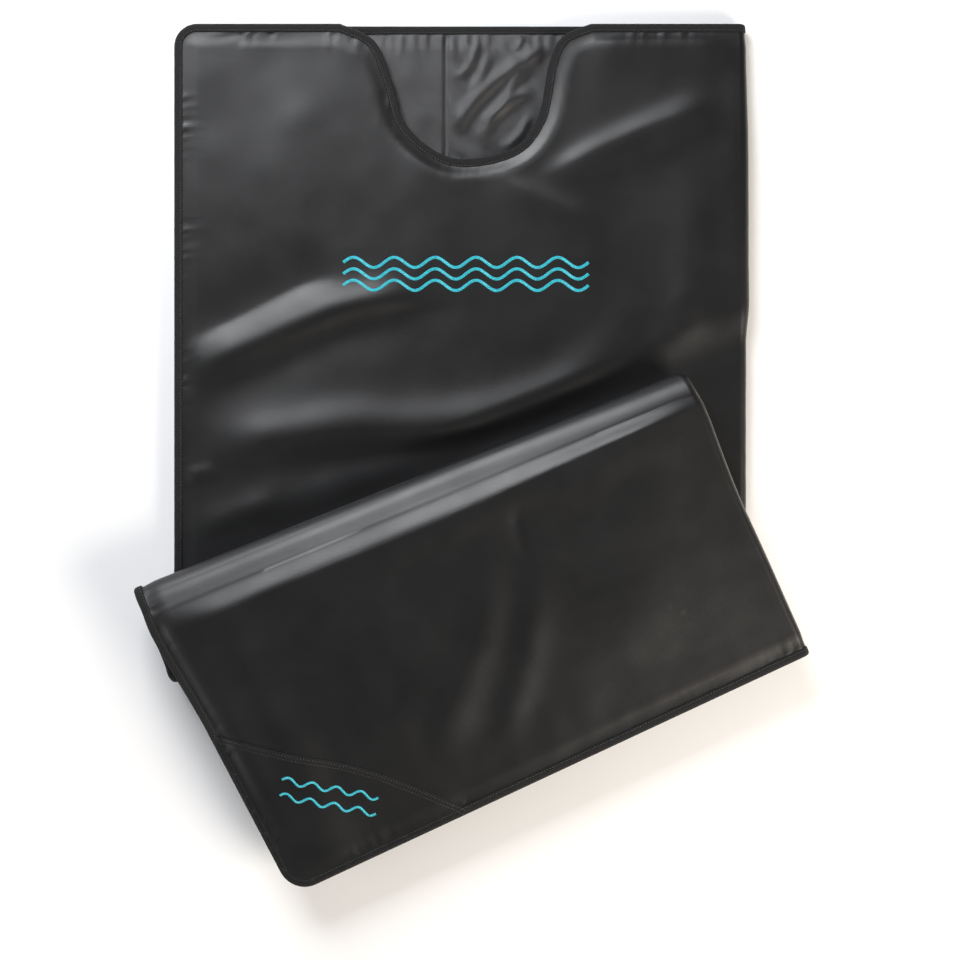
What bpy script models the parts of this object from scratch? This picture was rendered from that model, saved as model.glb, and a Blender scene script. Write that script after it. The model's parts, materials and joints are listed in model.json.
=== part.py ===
"""Infrared sauna blanket, folded in three.

The blanket is a long flat bag. It is described once, opened out flat, in the strip frame: x across it,
y along it with the neck end at +Y, and z through it from the outside of the back panel, at 0, to the
outside of the front panel, at THICK. Two empties then fold it: the middle section turns up and over
about lower_fold_axis and lies on the head section, and the foot section turns about upper_fold_axis
and lies on both. Set the empties' rotations to zero to see the blanket opened out.

The right side is a closed spine. The left side and the foot hem close with hook and loop tape.
The neck end is open, with a notch for the neck in the front panel.
"""

import math

import bmesh
import bpy
from mathutils import Matrix, Vector

# Plan of the strip, in metres and degrees
WIDTH = 0.900
NECK_EDGE = 0.482          # y of the neck end
LOWER_FOLD_Y = -0.448      # where the lower fold crosses the middle line
LOWER_FOLD_ANGLE = 9.7     # of the fold line, from +X
MIDDLE_LENGTH = 0.186      # between the two folds, along the middle line
UPPER_FOLD_ANGLE = -2.8
FOOT_LENGTH = 0.462
FOOT_DRAW_IN = 0.018       # how far the open side comes in towards the hem
NECK_CORNER_RADIUS = 0.035
FOOT_CORNER_RADIUS = 0.040
NECK_NOTCH = [             # the front panel's edge, from the left shoulder to the right one
    (-0.190, 0.482), (-0.136, 0.455), (-0.108, 0.390), (-0.084, 0.320), (-0.013, 0.271),
    (0.079, 0.285), (0.122, 0.336), (0.139, 0.420), (0.160, 0.462), (0.205, 0.482),
]

# The corner of the front panel that lifts, hinged on a slanting line above the folded sections
PEEL_RIGHT = (0.440, 0.452)
PEEL_LEFT = (-0.450, -0.250)

# Layers, from the outside of a panel to the pouch
GAP = 0.0003
COVER = 0.0010
BATTING = 0.0066
HEATER = 0.0007
LINING = 0.0008
SIDE = COVER + BATTING + HEATER + LINING + 3 * GAP
POUCH = 0.006
THICK = 2 * SIDE + POUCH

# Folds: the sections lie this far apart, and the foot section slopes down from its crease
LOWER_FOLD_GAP = 0.004
UPPER_FOLD_GAP = 0.016
FOOT_SLOPE = 3.0
ROLL_STEPS = 14

# Edges
SPINE = 0.010
BINDING = 0.013
TAPE_WIDTH = 0.025
TAPE_THICKNESS = (POUCH - 3 * GAP) / 2
HEATER_MARGIN = 0.075

# Corner patch, embroidery and power inlet, all on the foot section or the front of the head section
PATCH_EDGE = [(-0.440, -0.822), (-0.357, -0.888), (-0.270, -0.951), (-0.204, -1.013), (-0.125, -1.100)]
PATCH_THICKNESS = 0.0008
THREAD_THICKNESS = 0.0006
WAVE_HALF_WIDTH = 0.006
WAVE_HEIGHT = 0.012
INLET_Y = -0.985
INLET_SETBACK = 0.0016     # clears the slanting binding in front of it
INLET_SIZE = Vector((0.034, 0.040, BATTING + HEATER + GAP))
SOCKET_SIZE = Vector((0.020, 0.022, 0.0058))
PIN_RADIUS = 0.0010
PIN_LENGTH = 0.009
PIN_SPACING = 0.010
CUTOFF_SIZE = Vector((0.022, 0.012, 0.0050))
CUTOFF_X = -0.340
LEAD_RADIUS = 0.0022

HALF = WIDTH / 2
PANEL_RIGHT = HALF - SPINE
UPPER_FOLD_Y = LOWER_FOLD_Y - MIDDLE_LENGTH
HEM_Y = UPPER_FOLD_Y - FOOT_LENGTH
HEAD_PIVOT = Vector((0.0, 0.0, 0.0))
PEEL_PIVOT = Vector((PEEL_RIGHT[0], PEEL_RIGHT[1], THICK))
LOWER_PIVOT = Vector((0.0, LOWER_FOLD_Y, THICK + LOWER_FOLD_GAP / 2))
UPPER_PIVOT = Vector((0.0, UPPER_FOLD_Y, -UPPER_FOLD_GAP / 2))


# Outlines: lists of 2D points in the strip frame

def fillet(before, corner, after, radius, steps=8):
    """The arc that rounds a corner, as points from the side of before to the side of after."""
    corner = Vector(corner)
    to_before = (Vector(before) - corner).normalized()
    to_after = (Vector(after) - corner).normalized()
    half_angle = to_before.angle(to_after) / 2
    centre = corner + (to_before + to_after).normalized() * (radius / math.sin(half_angle))
    start = corner + to_before * (radius / math.tan(half_angle)) - centre
    turn = (math.pi - 2 * half_angle) * (1 if start.x * to_before.y - start.y * to_before.x < 0 else -1)
    return [tuple(centre + Matrix.Rotation(turn * i / steps, 2) @ start) for i in range(steps + 1)]


def smooth_line(points, steps=4):
    """A Catmull-Rom curve through the points."""
    padded = [points[0]] + list(points) + [points[-1]]
    line = []
    for a, b, c, d in zip(padded, padded[1:], padded[2:], padded[3:]):
        a, b, c, d = Vector(a), Vector(b), Vector(c), Vector(d)
        for i in range(steps):
            t = i / steps
            line.append(tuple(((-a + 3 * b - 3 * c + d) * t ** 3 + (2 * a - 5 * b + 4 * c - d) * t ** 2
                               + (c - a) * t + 2 * b) / 2))
    return line + [tuple(points[-1])]


def offset(path, distance):
    """The open path moved to its left by distance, with mitred corners."""
    moved = []
    for i, point in enumerate(path):
        normals = []
        for j in (i - 1, i):
            if 0 <= j < len(path) - 1:
                run = (Vector(path[j + 1]) - Vector(path[j])).normalized()
                normals.append(Vector((-run.y, run.x)))
        mitre = sum(normals, Vector((0.0, 0.0))).normalized()
        moved.append(tuple(Vector(point) + mitre * (distance / mitre.dot(normals[0]))))
    return moved


def band(path, near, far):
    """The outline between two offsets of an open path."""
    return offset(path, near) + offset(path, far)[::-1]


def keep_side(outline, point, angle, side, gap=GAP / 2):
    """The part of an outline above (side 1) or below (side -1) a line through point, less a gap."""
    normal = Vector((-math.sin(math.radians(angle)), math.cos(math.radians(angle)))) * side
    height = [normal.dot(Vector(p) - Vector(point)) - gap for p in outline]
    kept = []
    for i, here in enumerate(outline):
        following = (i + 1) % len(outline)
        if height[i] >= 0:
            kept.append(tuple(here))
        if height[i] * height[following] < 0:
            share = height[i] / (height[i] - height[following])
            kept.append(tuple(Vector(here).lerp(Vector(outline[following]), share)))
    return kept


def open_edge(notch):
    """The bag's free edge, from the spine along the neck end, down the open side and along the hem."""
    top_left = (-HALF, NECK_EDGE)
    fold_left = (-HALF, UPPER_FOLD_Y)
    hem_left = (-HALF + FOOT_DRAW_IN, HEM_Y)
    hem_right = (PANEL_RIGHT, HEM_Y)
    shoulder = smooth_line(NECK_NOTCH)[::-1] if notch else []
    return ([(PANEL_RIGHT, NECK_EDGE)] + shoulder
            + fillet((0, NECK_EDGE), top_left, fold_left, NECK_CORNER_RADIUS) + [fold_left]
            + fillet(fold_left, hem_left, hem_right, FOOT_CORNER_RADIUS) + [hem_right])


def heater_outline(front):
    """The heating sheet's rectangle, which stops short of the edges and below the neck notch."""
    top = (min(y for x, y in NECK_NOTCH) if front else NECK_EDGE) - HEATER_MARGIN / 2
    left, right, bottom = -HALF + HEATER_MARGIN, PANEL_RIGHT - HEATER_MARGIN / 2, HEM_Y + HEATER_MARGIN
    return [(right, top), (left, top), (left, bottom), (right, bottom)]


PEEL_ANGLE = math.degrees(math.atan2(PEEL_RIGHT[1] - PEEL_LEFT[1], PEEL_RIGHT[0] - PEEL_LEFT[0]))
SECTION_CUTS = {           # the lines that bound each section: point, angle, side that is kept
    "head": [((0, LOWER_FOLD_Y), LOWER_FOLD_ANGLE, 1)],
    "head_front": [((0, LOWER_FOLD_Y), LOWER_FOLD_ANGLE, 1), (PEEL_LEFT, PEEL_ANGLE, -1)],
    "neck_corner": [(PEEL_LEFT, PEEL_ANGLE, 1)],
    "middle": [((0, LOWER_FOLD_Y), LOWER_FOLD_ANGLE, -1), ((0, UPPER_FOLD_Y), UPPER_FOLD_ANGLE, 1)],
    "foot": [((0, UPPER_FOLD_Y), UPPER_FOLD_ANGLE, -1)],
}


def cut_to(section, outline):
    for point, angle, side in SECTION_CUTS[section]:
        outline = keep_side(outline, point, angle, side)
    return outline


# Making objects

def start_scene():
    for old in list(bpy.data.objects):
        bpy.data.objects.remove(old, do_unlink=True)
    collections = {}
    for name in ("infrared_sauna_blanket", "cutters"):
        collections[name] = bpy.data.collections.new(name)
        bpy.context.scene.collection.children.link(collections[name])
    return collections["infrared_sauna_blanket"], collections["cutters"]


def material(name, colour, roughness, metallic=0.0):
    made = bpy.data.materials.get(name) or bpy.data.materials.new(name)
    made.use_nodes = True
    shader = made.node_tree.nodes["Principled BSDF"]
    shader.inputs["Base Color"].default_value = (*colour, 1.0)
    shader.inputs["Roughness"].default_value = roughness
    shader.inputs["Metallic"].default_value = metallic
    made.diffuse_color = (*colour, 1.0)
    return made


def leather():
    return material("pu_leather", (0.030, 0.030, 0.032), 0.42)


def felt():
    return material("insulating_felt", (0.62, 0.60, 0.56), 0.95)


def carbon_sheet():
    return material("carbon_heater", (0.045, 0.045, 0.050), 0.60)


def lining_fabric():
    return material("lining", (0.110, 0.110, 0.118), 0.38)


def woven_tape():
    return material("woven_binding", (0.018, 0.018, 0.019), 0.80)


def hook_tape():
    return material("hook_and_loop", (0.022, 0.022, 0.024), 0.90)


def thread():
    return material("embroidery_thread", (0.045, 0.530, 0.680), 0.45)


def black_plastic():
    return material("inlet_plastic", (0.025, 0.025, 0.027), 0.50)


class Section:
    """A set of pieces that hang on one empty, which stands on the section's joint."""

    def __init__(self, name, pivot, collection, parent=None, turn=None):
        self.pivot = pivot
        self.collection = collection
        self.empty = bpy.data.objects.new(name + "_axis", None)
        self.empty.empty_display_size = 0.05
        collection.objects.link(self.empty)
        self.empty.parent = parent.empty if parent else None
        self.empty.location = pivot - (parent.pivot if parent else HEAD_PIVOT)
        if turn:
            angle, about = turn
            self.empty.rotation_mode = "QUATERNION"
            self.empty.rotation_quaternion = Matrix.Rotation(angle, 3, about).to_quaternion()

    def add(self, name, mesh, made_of):
        """Put a mesh that is drawn in the strip frame into the section."""
        mesh.transform(Matrix.Translation(-self.pivot))
        mesh.materials.clear()
        mesh.materials.append(made_of)
        piece = bpy.data.objects.new(name, mesh)
        piece.parent = self.empty
        self.collection.objects.link(piece)
        return piece

    def plate(self, name, outline, low, high, made_of):
        """A flat piece from z = low to z = high."""
        return self.add(name, plate_mesh(name, outline, low, high), made_of)


def plate_mesh(name, outline, low, high):
    """A flat outline as a filled 2D curve, extruded and welded into one closed mesh."""
    curve = bpy.data.curves.new(name, "CURVE")
    curve.dimensions = "2D"
    curve.fill_mode = "BOTH"
    curve.extrude = (high - low) / 2
    spline = curve.splines.new("POLY")
    spline.points.add(len(outline) - 1)
    for spot, (x, y) in zip(spline.points, outline):
        spot.co = (x, y, 0.0, 1.0)
    spline.use_cyclic_u = True
    guide = bpy.data.objects.new(name + "_outline", curve)
    bpy.context.scene.collection.objects.link(guide)
    mesh = bpy.data.meshes.new_from_object(guide.evaluated_get(bpy.context.evaluated_depsgraph_get()))
    bpy.data.objects.remove(guide, do_unlink=True)
    welded = bmesh.new()
    welded.from_mesh(mesh)
    bmesh.ops.remove_doubles(welded, verts=welded.verts, dist=0.00001)
    bmesh.ops.recalc_face_normals(welded, faces=welded.faces)
    welded.to_mesh(mesh)
    welded.free()
    mesh.transform(Matrix.Translation((0.0, 0.0, (low + high) / 2)))
    return mesh


def box_mesh(name, centre, size):
    """A block with its sides along the strip frame."""
    made = bmesh.new()
    bmesh.ops.create_cube(made, size=1.0)
    bmesh.ops.scale(made, vec=size, verts=made.verts)
    bmesh.ops.translate(made, vec=centre, verts=made.verts)
    mesh = bpy.data.meshes.new(name)
    made.to_mesh(mesh)
    made.free()
    return mesh


def rod_mesh(name, start, length, radius):
    """A round rod that runs along +X from start."""
    made = bmesh.new()
    lying = Matrix.Translation(start + Vector((length / 2, 0, 0))) @ Matrix.Rotation(math.pi / 2, 4, "Y")
    bmesh.ops.create_cone(made, cap_ends=True, segments=12, radius1=radius, radius2=radius,
                          depth=length, matrix=lying)
    mesh = bpy.data.meshes.new(name)
    made.to_mesh(mesh)
    made.free()
    return mesh


def roll_mesh(name, pivot, angle, half_length, inner, outer, turn):
    """The half tube of fabric in a fold: a rectangle spun about the fold's axis, away from the head."""
    made = bmesh.new()
    along = Vector((math.cos(math.radians(angle)), math.sin(math.radians(angle)), 0.0))
    down = Vector((0.0, 0.0, -1.0)) * (1 if turn > 0 else -1)
    corners = [along * x + down * r for x, r in
               ((-half_length, inner), (half_length, inner), (half_length, outer), (-half_length, outer))]
    profile = made.faces.new([made.verts.new(pivot + c) for c in corners])
    trim = math.copysign(GAP / inner / 2, turn)
    bmesh.ops.rotate(made, cent=pivot, matrix=Matrix.Rotation(-trim, 3, along), verts=made.verts)
    bmesh.ops.spin(made, geom=[profile] + list(profile.edges) + list(profile.verts), cent=pivot,
                   axis=along, angle=2 * trim - turn, steps=ROLL_STEPS, use_duplicate=False)
    bmesh.ops.recalc_face_normals(made, faces=made.faces)
    mesh = bpy.data.meshes.new(name)
    made.to_mesh(mesh)
    made.free()
    return mesh


def add_cutter(section, cutters, name, centre, size):
    """A block for Booleans, hidden from the model."""
    cutter = section.add(name, box_mesh(name, centre, size), black_plastic())
    section.collection.objects.unlink(cutter)
    cutters.objects.link(cutter)
    cutter.hide_render = True
    cutter.display_type = "WIRE"
    return cutter


def subtract(piece, cutter):
    step = piece.modifiers.new(cutter.name, "BOOLEAN")
    step.operation = "DIFFERENCE"
    step.solver = "EXACT"
    step.object = cutter


# The pieces

def layer_heights(front):
    """The z range of each layer of a panel, cover first."""
    heights = {}
    depth = 0.0
    for layer, thickness in (("cover", COVER), ("batting", BATTING), ("heater", HEATER), ("lining", LINING)):
        span = (depth, depth + thickness)
        heights[layer] = (THICK - span[1], THICK - span[0]) if front else span
        depth += thickness + GAP
    return heights


LAYER_MATERIALS = {"cover": leather, "batting": felt, "heater": carbon_sheet, "lining": lining_fabric}


def add_panel(section, cuts, prefix, front):
    """The four layers of a panel and the tape that binds their free edge."""
    edge = open_edge(notch=front)
    outlines = {"heater": heater_outline(front)}
    made = {}
    for layer, (low, high) in layer_heights(front).items():
        outline = outlines.get(layer) or offset(edge, BINDING + GAP)
        made[layer] = section.plate(f"{prefix}_{layer}", cut_to(cuts, outline), low, high,
                                    LAYER_MATERIALS[layer]())
    low = THICK - SIDE if front else 0.0
    made["binding"] = section.plate(f"{prefix}_binding", cut_to(cuts, band(edge, 0.0, BINDING)),
                                    low, low + SIDE, woven_tape())
    return made


def add_tape(section, cuts, name, front):
    """Hook tape under the front panel, or loop tape on the back panel, down the open side and the hem."""
    edge = [p for p in open_edge(notch=False) if p[1] < NECK_EDGE - NECK_CORNER_RADIUS - BINDING]
    top = (edge[0][0], NECK_EDGE - NECK_CORNER_RADIUS - BINDING)
    outline = band([top] + edge, BINDING + GAP, BINDING + GAP + TAPE_WIDTH)
    low = THICK - SIDE - GAP - TAPE_THICKNESS if front else SIDE + GAP
    return section.plate(name, cut_to(cuts, outline), low, low + TAPE_THICKNESS, hook_tape())


def add_spine(section, cuts, name):
    """The closed side of the bag, from the back panel round to the front."""
    outline = [(PANEL_RIGHT + GAP, HEM_Y), (HALF, HEM_Y), (HALF, NECK_EDGE), (PANEL_RIGHT + GAP, NECK_EDGE)]
    section.plate(name, cut_to(cuts, outline), 0.0, THICK, leather())


def add_wave(section, name, start, end, periods, low):
    """A wavy line of embroidery from start to end, lying on z = low."""
    steps = 12 * periods
    along = (Vector(end) - Vector(start)).normalized()
    across = Vector((-along.y, along.x))
    path = []
    for i in range(steps + 1):
        sway = WAVE_HEIGHT * math.sin(2 * math.pi * periods * i / steps)
        path.append(tuple(Vector(start).lerp(Vector(end), i / steps) + across * sway))
    section.plate(name, band(path, -WAVE_HALF_WIDTH, WAVE_HALF_WIDTH), low, low + THREAD_THICKNESS, thread())


def add_fold(section, name, pivot, angle, turn):
    """The two panels' fabric in a fold, the one on the outside and the one on the inside."""
    half_length = HALF / math.cos(math.radians(angle))
    front_first = turn > 0
    inside = abs(pivot.z - (THICK if front_first else 0.0))
    names = ("front", "back") if front_first else ("back", "front")
    for layer, inner in zip(names, (inside, inside + THICK - SIDE)):
        mesh = roll_mesh(name, pivot, angle, half_length, inner, inner + SIDE - GAP, turn)
        section.add(f"{name}_{layer}_roll", mesh, leather())


def add_inlet(foot, cutters, panel):
    """The power inlet in the open side of the foot's back panel, with its pins, lead and cut-off."""
    edge_x = -HALF + FOOT_DRAW_IN * (UPPER_FOLD_Y - INLET_Y) / FOOT_LENGTH
    face_x = edge_x + BINDING + INLET_SETBACK
    floor_z = COVER + GAP
    middle_z = floor_z + INLET_SIZE.z / 2
    centre = Vector((face_x + INLET_SIZE.x / 2, INLET_Y, middle_z))
    room = Vector((2 * GAP, 2 * GAP, 2 * GAP))
    housing = foot.add("inlet_housing", box_mesh("inlet_housing", centre, INLET_SIZE), black_plastic())
    socket_centre = Vector((face_x + SOCKET_SIZE.x / 2 - BINDING, INLET_Y, middle_z))
    socket_size = SOCKET_SIZE + Vector((2 * BINDING, 0.0, 0.0))
    socket = add_cutter(foot, cutters, "socket_hollow", socket_centre, socket_size)
    subtract(housing, socket)
    subtract(panel["binding"], socket)
    pocket = add_cutter(foot, cutters, "housing_pocket", centre, INLET_SIZE + room)
    subtract(panel["batting"], pocket)
    for number, shift in ((1, -PIN_SPACING / 2), (2, PIN_SPACING / 2)):
        start = Vector((face_x + SOCKET_SIZE.x - PIN_LENGTH - GAP, INLET_Y + shift, middle_z))
        foot.add(f"inlet_pin_{number}", rod_mesh("inlet_pin", start, PIN_LENGTH, PIN_RADIUS),
                 material("pin_brass", (0.80, 0.62, 0.28), 0.30, 1.0))
    cutoff_centre = Vector((CUTOFF_X, INLET_Y, floor_z + BATTING / 2))
    foot.add("thermal_cutoff", box_mesh("thermal_cutoff", cutoff_centre, CUTOFF_SIZE),
             material("cutoff_plastic", (0.75, 0.74, 0.70), 0.50))
    cutoff_pocket = add_cutter(foot, cutters, "cutoff_pocket", cutoff_centre,
                               Vector((CUTOFF_SIZE.x, CUTOFF_SIZE.y, 2 * BATTING)) + room)
    subtract(panel["batting"], cutoff_pocket)
    lead_start = Vector((centre.x + INLET_SIZE.x / 2 + GAP, INLET_Y, cutoff_centre.z))
    lead_length = cutoff_centre.x - CUTOFF_SIZE.x / 2 - GAP - lead_start.x
    foot.add("heater_lead", rod_mesh("heater_lead", lead_start, lead_length, LEAD_RADIUS),
             material("lead_silicone", (0.45, 0.05, 0.04), 0.55))
    channel_centre = Vector((lead_start.x + lead_length / 2, INLET_Y, cutoff_centre.z))
    channel = add_cutter(foot, cutters, "lead_channel", channel_centre,
                         Vector((lead_length + 4 * GAP, 2 * LEAD_RADIUS + 2 * GAP, 2 * BATTING)))
    subtract(panel["batting"], channel)


def add_patch(foot):
    """The second layer of leather sewn on the front of the foot's lower left corner."""
    inner = offset(open_edge(notch=False), BINDING + GAP)
    corner = [p for p in inner if p[1] < PATCH_EDGE[0][1] and p[0] < PATCH_EDGE[-1][0]]
    start = (PATCH_EDGE[-1][0], HEM_Y + BINDING + GAP)
    edge = [p for p in smooth_line(PATCH_EDGE) if p[1] > start[1]]
    left = -HALF + FOOT_DRAW_IN * (UPPER_FOLD_Y - edge[0][1]) / FOOT_LENGTH + BINDING + GAP
    edge = [(left, edge[0][1])] + [p for p in edge[1:] if p[0] > left]
    foot.plate("corner_patch", edge + [start] + corner[::-1], THICK + GAP, THICK + GAP + PATCH_THICKNESS,
               leather())


def main():
    model, cutters = start_scene()
    lower_slant = math.radians(LOWER_FOLD_ANGLE)
    upper_slant = math.radians(UPPER_FOLD_ANGLE)
    lower_axis = Vector((math.cos(lower_slant), math.sin(lower_slant), 0))
    upper_axis = Vector((math.cos(upper_slant), math.sin(upper_slant), 0))
    head = Section("head", HEAD_PIVOT, model)
    corner = Section("corner_peel", PEEL_PIVOT, model, head)
    middle = Section("lower_fold", LOWER_PIVOT, model, head, (-math.pi, lower_axis))
    foot = Section("upper_fold", UPPER_PIVOT, model, middle, (math.radians(180 + FOOT_SLOPE), upper_axis))

    add_panel(head, "head", "head_back", front=False)
    add_panel(head, "head_front", "head_front", front=True)
    add_panel(corner, "neck_corner", "neck_corner", front=True)
    add_panel(middle, "middle", "middle_back", front=False)
    add_panel(middle, "middle", "middle_front", front=True)
    foot_back = add_panel(foot, "foot", "foot_back", front=False)
    add_panel(foot, "foot", "foot_front", front=True)

    for section, cuts, name in ((head, "head", "head_spine"), (middle, "middle", "middle_spine"),
                                (foot, "foot", "foot_spine")):
        add_spine(section, cuts, name)
    add_fold(head, "lower_fold", LOWER_PIVOT, LOWER_FOLD_ANGLE, math.pi)
    add_fold(middle, "upper_fold", UPPER_PIVOT, UPPER_FOLD_ANGLE, -math.radians(180 + FOOT_SLOPE))

    for section, cuts, name, front in ((head, "head", "head_loop_tape", False),
                                       (head, "head_front", "head_hook_tape", True),
                                       (corner, "neck_corner", "corner_hook_tape", True),
                                       (middle, "middle", "middle_loop_tape", False),
                                       (middle, "middle", "middle_hook_tape", True),
                                       (foot, "foot", "foot_loop_tape", False),
                                       (foot, "foot", "foot_hook_tape", True)):
        add_tape(section, cuts, name, front)

    add_patch(foot)
    on_cover = THICK + GAP
    add_wave(corner, "embroidery_left", (-0.184, 0.088), (-0.084, 0.088), 1, on_cover)
    add_wave(head, "embroidery_right", (0.000, 0.088), (0.200, 0.088), 2, on_cover)
    on_patch = on_cover + PATCH_THICKNESS + GAP
    add_wave(foot, "patch_embroidery", (-0.382, -0.930), (-0.262, -1.017), 2, on_patch)
    add_inlet(foot, cutters, foot_back)


main()
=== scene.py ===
"""The looks of the folded sauna blanket: fabric skins, bindings, stitching and lining around the CAD frame.

Every soft surface is drawn opened out first, in the strip frame: c runs across the bag from the open edge
of the back panel, round the spine, to the open edge of the front panel; t runs down the bag from the neck
end. place() then folds it the way the CAD bodies are folded.
"""

import json
import math

import bpy
import numpy as np
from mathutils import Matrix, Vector


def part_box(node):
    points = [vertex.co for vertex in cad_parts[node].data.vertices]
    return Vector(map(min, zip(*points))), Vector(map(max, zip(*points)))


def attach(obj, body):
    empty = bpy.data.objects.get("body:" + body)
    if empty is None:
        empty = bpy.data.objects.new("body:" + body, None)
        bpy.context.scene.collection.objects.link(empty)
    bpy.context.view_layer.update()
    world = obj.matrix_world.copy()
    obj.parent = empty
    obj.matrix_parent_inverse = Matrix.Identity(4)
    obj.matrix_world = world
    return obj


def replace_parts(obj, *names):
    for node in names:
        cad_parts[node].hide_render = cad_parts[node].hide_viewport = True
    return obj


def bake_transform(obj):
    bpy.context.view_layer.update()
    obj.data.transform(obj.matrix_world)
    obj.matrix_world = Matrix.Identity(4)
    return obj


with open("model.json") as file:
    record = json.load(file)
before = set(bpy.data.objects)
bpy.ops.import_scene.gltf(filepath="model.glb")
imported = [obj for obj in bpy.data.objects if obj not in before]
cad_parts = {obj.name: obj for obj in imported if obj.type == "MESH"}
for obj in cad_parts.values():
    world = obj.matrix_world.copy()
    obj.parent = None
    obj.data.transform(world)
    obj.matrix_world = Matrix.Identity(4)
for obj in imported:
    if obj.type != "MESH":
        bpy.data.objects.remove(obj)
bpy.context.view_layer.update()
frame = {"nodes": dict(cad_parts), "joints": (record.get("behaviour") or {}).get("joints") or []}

SCENE = bpy.context.scene


# ---- sizes read from the frame

def node_points(name):
    return np.array([v.co for v in frame["nodes"][name].data.vertices], float)


def rotate(points, pivot, axis, angle):
    """Rodrigues' rotation of many points about one axis, each by its own angle or all by one."""
    arm = points - pivot
    c, s = np.cos(angle)[:, None], np.sin(angle)[:, None]
    return pivot + arm * c + np.cross(axis, arm) * s + axis * (arm @ axis)[:, None] * (1 - c)


JOINTS = {j["name"]: j for j in frame["joints"]}
LOWER_PIVOT = np.array(JOINTS["lower_fold"]["pos_m"])
LOWER_AXIS = np.array(JOINTS["lower_fold"]["axis"])
HALF_TURN = np.array([math.pi])


def unfold_middle(points):
    return rotate(points, LOWER_PIVOT, LOWER_AXIS, HALF_TURN)


UPPER_JOINT = np.array([JOINTS["upper_fold"]["pos_m"]])
UPPER_PIVOT = unfold_middle(UPPER_JOINT)[0]
UPPER_AXIS = UPPER_PIVOT - unfold_middle(UPPER_JOINT + JOINTS["upper_fold"]["axis"])[0]
FOOT_TURN = math.radians(JOINTS["upper_fold"]["range_deg"][1])
PEEL_PIVOT = np.array(JOINTS["corner_peel"]["pos_m"])
PEEL_AXIS = np.array(JOINTS["corner_peel"]["axis"])


def unfold_foot(points):
    return rotate(unfold_middle(points), UPPER_PIVOT, UPPER_AXIS, np.array([-FOOT_TURN]))


SPINE_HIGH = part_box("head_spine")[1]
THICK = SPINE_HIGH.z
HALF = SPINE_HIGH.x
NECK_EDGE = SPINE_HIGH.y
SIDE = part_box("head_back_binding")[1].z
FOOT_FLAT = unfold_foot(node_points("foot_back_binding"))
HEM_Y = FOOT_FLAT[:, 1].min()
HEM_BAND = 0.06
FOOT_DRAW_IN = FOOT_FLAT[FOOT_FLAT[:, 1] < HEM_Y + HEM_BAND][:, 0].min() + HALF
DRAW_IN_WIDTH = 0.35       # over this distance from the open edge the draw-in fades out
SPINE_RADIUS = THICK / 2
FLAT_WIDTH = 2 * HALF - SPINE_RADIUS
SPINE_ARC = math.pi * SPINE_RADIUS
ACROSS = 2 * FLAT_WIDTH + SPINE_ARC
LOWER_SLOPE = LOWER_AXIS[1] / LOWER_AXIS[0]
UPPER_SLOPE = UPPER_AXIS[1] / UPPER_AXIS[0]
LOWER_ROLL = math.pi * LOWER_PIVOT[2]
UPPER_ROLL = FOOT_TURN * (THICK - UPPER_PIVOT[2])


def lower_line(u):
    return LOWER_PIVOT[1] + (u - LOWER_PIVOT[0]) * LOWER_SLOPE


def upper_line(u):
    return UPPER_PIVOT[1] + (u - UPPER_PIVOT[0]) * UPPER_SLOPE


# ---- the folded map

def ease(x):
    """0 below 0, 1 above 1, and smooth between."""
    x = np.clip(x, 0, 1)
    return x * x * (3 - 2 * x)


def smooth_line(points, steps):
    """A Catmull-Rom curve through the points, as an array."""
    p = np.array([points[0]] + list(points) + [points[-1]], float)
    t = np.linspace(0, 1, steps, endpoint=False)[:, None]
    runs = [((-a + 3 * b - 3 * c + d) * t ** 3
             + (2 * a - 5 * b + 4 * c - d) * t ** 2 + (c - a) * t + 2 * b) / 2
            for a, b, c, d in zip(p, p[1:], p[2:], p[3:])]
    return np.vstack(runs + [p[-1:]])


def waves(x, y, wavelength, seed, count=24):
    """Smooth noise, about -1 to 1: a sum of plane waves near one wavelength."""
    rng = np.random.default_rng(seed)
    total = np.zeros_like(x)
    for _ in range(count):
        heading = rng.uniform(0, 2 * math.pi)
        pitch = 2 * math.pi / (wavelength * rng.uniform(0.7, 1.5))
        start = rng.uniform(0, 2 * math.pi)
        total += np.cos(pitch * (x * math.cos(heading) + y * math.sin(heading)) + start)
    return total / math.sqrt(count)


def cross_section(c, depth):
    """(u, n) of the point at c across the bag and depth below its outside."""
    arc = np.clip((c - FLAT_WIDTH) / SPINE_RADIUS, 0, math.pi) - math.pi / 2
    reach = SPINE_RADIUS - depth
    u = np.where(c < FLAT_WIDTH, c - HALF,
                 np.where(c > FLAT_WIDTH + SPINE_ARC, HALF - SPINE_RADIUS - (c - FLAT_WIDTH - SPINE_ARC),
                          HALF - SPINE_RADIUS + reach * np.cos(arc)))
    return u, SPINE_RADIUS + reach * np.sin(arc)


def column(c):
    return cross_section(c, np.zeros_like(c))[0]


def split_rows(c, t):
    """How far each point is through the two rolls, as angles, and its y in the strip frame."""
    u = column(c)
    below_lower = np.clip(lower_line(u) - t, 0, LOWER_ROLL)
    y = t + below_lower
    below_upper = np.clip(upper_line(u) - y, 0, UPPER_ROLL)
    return y + below_upper, below_lower / LOWER_ROLL * math.pi, below_upper / UPPER_ROLL * FOOT_TURN


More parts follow.
